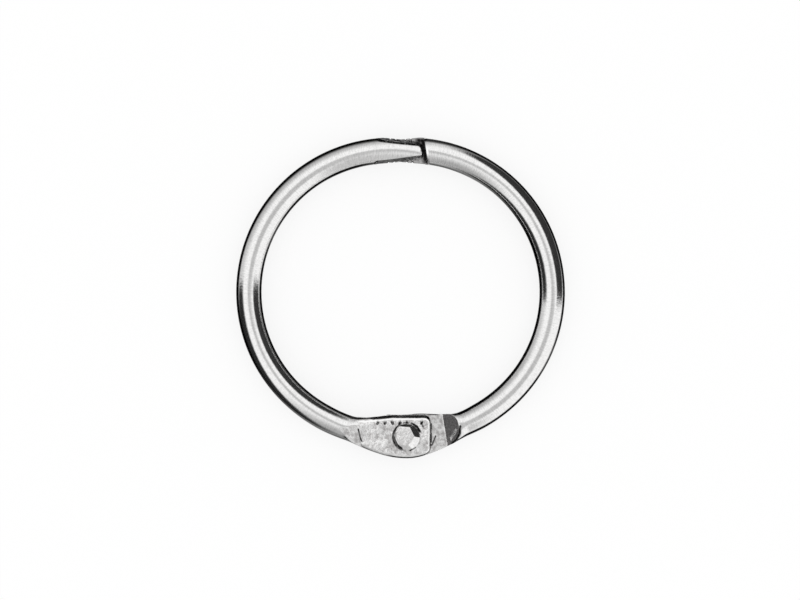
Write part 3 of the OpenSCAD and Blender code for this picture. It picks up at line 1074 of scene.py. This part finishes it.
def mark_lip_tree(material):
    """Geometry Nodes that lay a small lip at each press mark along a line but the missed one."""
    tree = bpy.data.node_groups.new("mark_lips", "GeometryNodeTree")
    face = tree.interface
    face.new_socket("Geometry", in_out="OUTPUT", socket_type="NodeSocketGeometry")
    for label, kind in (("Count", "Int"), ("Missed", "Int"), ("Start", "Vector"),
                        ("Step", "Vector"), ("Length", "Float"), ("Width", "Float"),
                        ("Seed", "Int")):
        face.new_socket(label, in_out="INPUT", socket_type="NodeSocket" + kind)
    inputs = tree.nodes.new("NodeGroupInput").outputs
    output = tree.nodes.new("NodeGroupOutput")
    link = tree.links.new

    line = add(tree, "GeometryNodeMeshLine", mode="OFFSET")
    link(inputs["Count"], line.inputs["Count"])
    link(inputs["Start"], line.inputs["Start Location"])
    link(inputs["Step"], line.inputs["Offset"])
    lip = add(tree, "GeometryNodeMeshUVSphere", Segments=12, Rings=8)
    lip.inputs["Radius"].default_value = 0.5
    shape = tree.nodes.new("GeometryNodeTransform")
    link(lip.outputs["Mesh"], shape.inputs["Geometry"])
    extent = tree.nodes.new("ShaderNodeCombineXYZ")
    for axis, label in (("X", "Width"), ("Y", "Length"), ("Z", "Width")):
        link(inputs[label], extent.inputs[axis])
    link(extent.outputs["Vector"], shape.inputs["Scale"])
    turn = add(tree, "FunctionNodeRandomValue", data_type="FLOAT_VECTOR")
    turn.inputs["Min"].default_value = (0, 0, -0.35)
    turn.inputs["Max"].default_value = (0, 0, 0.2)
    size = add(tree, "FunctionNodeRandomValue", data_type="FLOAT_VECTOR")
    size.inputs["Min"].default_value = (0.7, 0.6, 0.5)
    size.inputs["Max"].default_value = (1.2, 1.1, 0.9)
    for node in (turn, size):
        link(inputs["Seed"], node.inputs["Seed"])
    number = tree.nodes.new("GeometryNodeInputIndex")
    kept = add(tree, "FunctionNodeCompare", data_type="INT", operation="NOT_EQUAL")
    left, right = (socket for socket in kept.inputs if socket.type == "INT")
    link(number.outputs["Index"], left)
    link(inputs["Missed"], right)
    place = tree.nodes.new("GeometryNodeInstanceOnPoints")
    link(line.outputs["Mesh"], place.inputs["Points"])
    link(shape.outputs["Geometry"], place.inputs["Instance"])
    link(kept.outputs["Result"], place.inputs["Selection"])
    link(turn.outputs["Value"], place.inputs["Rotation"])
    link(size.outputs["Value"], place.inputs["Scale"])

    real = tree.nodes.new("GeometryNodeRealizeInstances")
    dress = add(tree, "GeometryNodeSetMaterial", Material=material)
    link(place.outputs["Instances"], real.inputs["Geometry"])
    link(real.outputs["Geometry"], dress.inputs["Geometry"])
    link(dress.outputs["Geometry"], output.inputs["Geometry"])
    return tree


def grown(name, tree, values):
    """The plain mesh that a Geometry Nodes tree makes with the given inputs."""
    carrier = bpy.data.objects.new(name, bpy.data.meshes.new(name + "_seed"))
    bpy.context.scene.collection.objects.link(carrier)
    modifier = carrier.modifiers.new("nodes", "NODES")
    modifier.node_group = tree
    for item in tree.interface.items_tree:
        if item.in_out == "INPUT" and item.name in values:
            modifier[item.identifier] = values[item.name]
    graph = bpy.context.evaluated_depsgraph_get()
    mesh = bpy.data.meshes.new_from_object(carrier.evaluated_get(graph))
    carrier.modifiers.remove(modifier)
    seed = carrier.data
    carrier.data = mesh
    bpy.data.meshes.remove(seed)
    return carrier


class BOOKRING_OT_press_marks(bpy.types.Operator):
    """Lay the small lips thrown up beside the press marks along each tab's inner edge"""

    bl_idname = "book_ring.press_marks"
    bl_label = "Press marks"

    def execute(self, context):
        size, _, rivet, _ = settings()
        tree = mark_lip_tree(finish_material("struck_plate"))
        face = size.wire / 2 - size.tab_relief
        row_y = HINGE.y + size.tab_width / 2 - rivet.mark_inset
        for node, side in (("left_arm", 1), ("right_arm", -1)):
            start_x = HINGE.x + side * (rivet.first_mark + 0.8 * rivet.mark_width)
            values = {
                "Count": rivet.marks,
                "Missed": rivet.missed,
                "Start": (start_x, row_y, side * face),
                "Step": (side * rivet.mark_pitch, 0, 0),
                "Length": rivet.mark_length,
                "Width": rivet.lip,
                "Seed": 4,
            }
            piece = grown(node + "_mark_lips", tree, values)
            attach(piece, node)
        return {"FINISHED"}


# Studio

STUDIO_LIGHT = 1.0
FLOOR_GLOW = 0.8
FLOOR_REACH = 4.0
STUDIO_CARDS = (
    # azimuth, half width, elevation, half height, lean, squareness, softness, first azimuth,
    # brightness
    (318, 52, 78, 16, 0, 2, 0.5, None, 0.56),
    (0, 400, 90, 10, 0, 2, 0.8, None, 0.55),
    (125, 54, -2, 38, 0, 2.4, 0.6, None, 0.48),
    (105, 50, -20, 24, 0, 3, 0.35, None, 0.15),
    (250, 22, 6, 52, 0, 2.4, 0.7, None, 0.42),
    (284, 16, 30, 40, 0, 2.4, 0.5, None, 0.6),
    (25, 46, 19, 33, -0.1, 2.4, 0.14, -4, 0.03),
    (208, 40, 4, 30, -0.45, 2.2, 0.25, 176, 0.02),
    (0, 400, -38, 15, 0, 2, 0.4, None, 0.22),
    (270, 30, -54, 18, 0, 3, 0.4, None, 0.12),
    (28, 56, -34, 21, 0, 6, 0.3, None, 0.0),
    (152, 76, -32, 24, 0, 6, 0.3, None, 0.0),
    (304, 28, -34, 21, 0, 4, 0.3, None, 0.0),
)


def chain(tree, operation, *values, clamp=False):
    """A math node on sockets or numbers, and its output."""
    node = add(tree, "ShaderNodeMath", operation=operation, use_clamp=clamp)
    for socket, value in zip(node.inputs, values):
        if isinstance(value, bpy.types.NodeSocket):
            tree.links.new(value, socket)
        else:
            socket.default_value = value
    return node.outputs["Value"]


def smooth(tree, value, start, end):
    """0 at start and 1 at end, with a smooth step between."""
    node = add(tree, "ShaderNodeMapRange", interpolation_type="SMOOTHSTEP")
    node.inputs["From Min"].default_value = start
    node.inputs["From Max"].default_value = end
    tree.links.new(value, node.inputs["Value"])
    return node.outputs["Result"]


def card_mask(tree, azimuth, elevation, centre, half, middle, tall, lean, square, soft, first):
    """1 inside one rounded card of the studio and 0 outside it, with a soft rim."""
    signed = chain(tree, "WRAP", chain(tree, "SUBTRACT", azimuth, centre), 180, -180)
    level = chain(tree, "MULTIPLY_ADD", signed, lean, middle)
    across = chain(tree, "DIVIDE", chain(tree, "ABSOLUTE", signed), half)
    off_level = chain(tree, "ABSOLUTE", chain(tree, "SUBTRACT", elevation, level))
    up = chain(tree, "DIVIDE", off_level, tall)
    wide, high = chain(tree, "POWER", across, square), chain(tree, "POWER", up, square)
    both = chain(tree, "ADD", wide, high)
    mask = smooth(tree, chain(tree, "POWER", both, 1 / square), 1 + soft, 1 - soft)
    if first is None:
        return mask
    past = chain(tree, "WRAP", chain(tree, "SUBTRACT", azimuth, first), 180, -180)
    return chain(tree, "MULTIPLY", mask, smooth(tree, past, -1.5, 1.5))


def seen_rays(tree, path):
    """1 for camera, transmission and glossy rays, and 0 for the rays that carry light."""
    shown = chain(tree, "ADD", path["Is Camera Ray"], path["Is Transmission Ray"], clamp=True)
    return chain(tree, "ADD", shown, path["Is Glossy Ray"], clamp=True)


def studio_world():
    """White all round, with the grey and dark cards of the studio mirrored by the metal alone."""
    world = bpy.data.worlds.new("studio")
    world.use_nodes = True
    tree = world.node_tree
    tree.nodes.clear()
    way = add(tree, "ShaderNodeSeparateXYZ")
    tree.links.new(add(tree, "ShaderNodeTexCoord").outputs["Generated"], way.inputs["Vector"])
    azimuth = chain(tree, "DEGREES", chain(tree, "ARCTAN2", way.outputs["Y"], way.outputs["X"]))
    elevation = chain(tree, "DEGREES", chain(tree, "ARCSINE", way.outputs["Z"]))
    level = 1.0
    for *shape, brightness in STUDIO_CARDS:
        mask = card_mask(tree, azimuth, elevation, *shape)
        level = chain(tree, "MULTIPLY_ADD", mask, chain(tree, "SUBTRACT", brightness, level), level)
    path = add(tree, "ShaderNodeLightPath").outputs
    darker = chain(tree, "SUBTRACT", level, 1.0)
    mirrored = chain(tree, "MULTIPLY_ADD", path["Is Glossy Ray"], darker, 1.0)
    light = add(tree, "ShaderNodeBackground", Color=(1, 1, 1, 1), Strength=STUDIO_LIGHT)
    backdrop = add(tree, "ShaderNodeBackground", Color=(1, 1, 1, 1))
    tree.links.new(mirrored, backdrop.inputs["Strength"])
    mix = add(tree, "ShaderNodeMixShader")
    tree.links.new(seen_rays(tree, path), mix.inputs["Fac"])
    tree.links.new(light.outputs["Background"], mix.inputs[1])
    tree.links.new(backdrop.outputs["Background"], mix.inputs[2])
    output = add(tree, "ShaderNodeOutputWorld")
    tree.links.new(mix.outputs["Shader"], output.inputs["Surface"])
    return world


def floor_paper(finish):
    """Pale paper, partly as white to the eye as the backdrop, so that it keeps a light shadow."""
    material, tree, shader = new_material("floor_paper")
    shader.inputs["Base Color"].default_value = (*finish.floor, 1)
    shader.inputs["Roughness"].default_value = 0.9
    shader.inputs["Specular IOR Level"].default_value = 0
    path = add(tree, "ShaderNodeLightPath").outputs
    glow = add(tree, "ShaderNodeEmission", Color=(1, 1, 1, 1), Strength=1.0)
    mix = add(tree, "ShaderNodeMixShader")
    tree.links.new(chain(tree, "MULTIPLY", seen_rays(tree, path), FLOOR_GLOW), mix.inputs["Fac"])
    tree.links.new(shader.outputs["BSDF"], mix.inputs[1])
    tree.links.new(glow.outputs["Emission"], mix.inputs[2])
    output = next(node for node in tree.nodes if node.type == "OUTPUT_MATERIAL")
    tree.links.new(mix.outputs["Shader"], output.inputs["Surface"])
    return material


class BOOKRING_OT_stage(bpy.types.Operator):
    """Lay the pale floor and set the light and the camera"""

    bl_idname = "book_ring.stage"
    bl_label = "Studio"

    def execute(self, context):
        finish = settings()[3]
        scene = context.scene
        scene.view_settings.view_transform = "Standard"
        scene.world = studio_world()

        mesh = bpy.data.meshes.new("floor")
        signs = ((-1, -1), (1, -1), (1, 1), (-1, 1))
        corners = [(x * FLOOR_REACH, y * FLOOR_REACH, BOTTOM) for x, y in signs]
        mesh.from_pydata(corners, [], [(0, 1, 2, 3)])
        mesh.materials.append(floor_paper(finish))
        floor = bpy.data.objects.new("floor", mesh)
        floor.visible_glossy = False
        scene.collection.objects.link(floor)

        camera = bpy.data.cameras.new("camera")
        camera.lens = camera.sensor_width * finish.view_height / finish.view_width
        camera.clip_start, camera.clip_end = 0.001, 20
        eye = bpy.data.objects.new("camera", camera)
        eye.location = Vector(finish.view_centre) + Vector((0, 0, finish.view_height))
        scene.collection.objects.link(eye)
        scene.camera = eye
        return {"FINISHED"}


class BOOKRING_PT_panel(bpy.types.Panel):
    """Sidebar panel with the sizes, the finish and the steps"""

    bl_idname = "BOOKRING_PT_panel"
    bl_label = "Book ring"
    bl_space_type = "VIEW_3D"
    bl_region_type = "UI"
    bl_category = "Book ring"

    def draw(self, context):
        for group in settings():
            box = self.layout.box()
            for key in group.bl_rna.properties.keys():
                if key not in {"rna_type", "name"}:
                    box.prop(group, key)
        for step in STEPS:
            self.layout.operator(step.bl_idname)


STEPS = (BOOKRING_OT_arms, BOOKRING_OT_rivet, BOOKRING_OT_press_marks, BOOKRING_OT_stage)
GROUPS = {
    "book_ring": BookRingSizes,
    "book_ring_lap": BookRingLapSizes,
    "book_ring_rivet": BookRingRivetSizes,
    "book_ring_finish": BookRingFinish,
}


def register():
    for cls in (*GROUPS.values(), *STEPS, BOOKRING_PT_panel):
        bpy.utils.register_class(cls)
    for key, cls in GROUPS.items():
        setattr(bpy.types.Scene, key, PointerProperty(type=cls))


def unregister():
    for key in GROUPS:
        delattr(bpy.types.Scene, key)
    for cls in (BOOKRING_PT_panel, *reversed(STEPS), *GROUPS.values()):
        bpy.utils.unregister_class(cls)


def main():
    register()
    bpy.ops.book_ring.arms()
    bpy.ops.book_ring.rivet()
    bpy.ops.book_ring.press_marks()
    bpy.ops.book_ring.stage()


if __name__ == "__main__":
    main()
